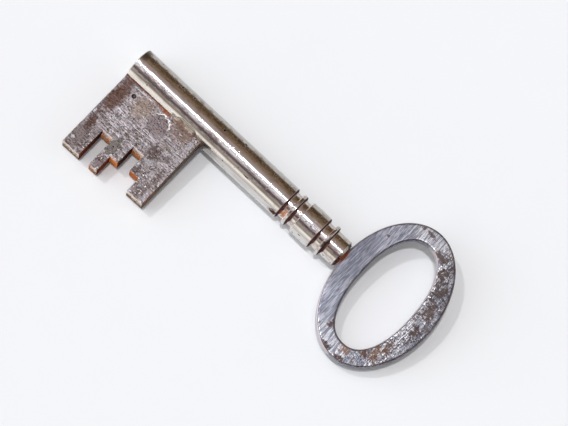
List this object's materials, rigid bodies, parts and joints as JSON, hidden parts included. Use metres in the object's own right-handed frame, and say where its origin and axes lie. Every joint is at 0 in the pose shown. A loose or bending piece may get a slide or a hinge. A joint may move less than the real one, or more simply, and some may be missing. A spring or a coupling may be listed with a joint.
{
  "type": "pipe key for a lever lock",
  "caption": "Large steel pipe key with a drilled round stem, turned collar mouldings, a stepped flat bit and a flat oval bow.",
  "frame": {"origin": "centre of the mouth of the drilled hole at the stem's tip", "axes": "+X along the stem from the tip towards the bow, -Y the way the bit points, +Z square to the flat bow and bit"},
  "size_m": [0.1278, 0.063, 0.0122],
  "materials": {
    "stem_steel": "turned and handled bright, with tarnish and rust in the corners",
    "bow_steel": "satin, filed across, with brown stains and pits",
    "bit_steel": "dull and pitted, with rust in the notches",
    "braze": "old tarnished brass spelter"
  },
  "bodies": {
    "root": {"bow": "bow_steel", "stem": "stem_steel", "bit": "bit_steel", "bow_braze": "braze", "bit_braze": "braze"}
  },
  "joints": []
}
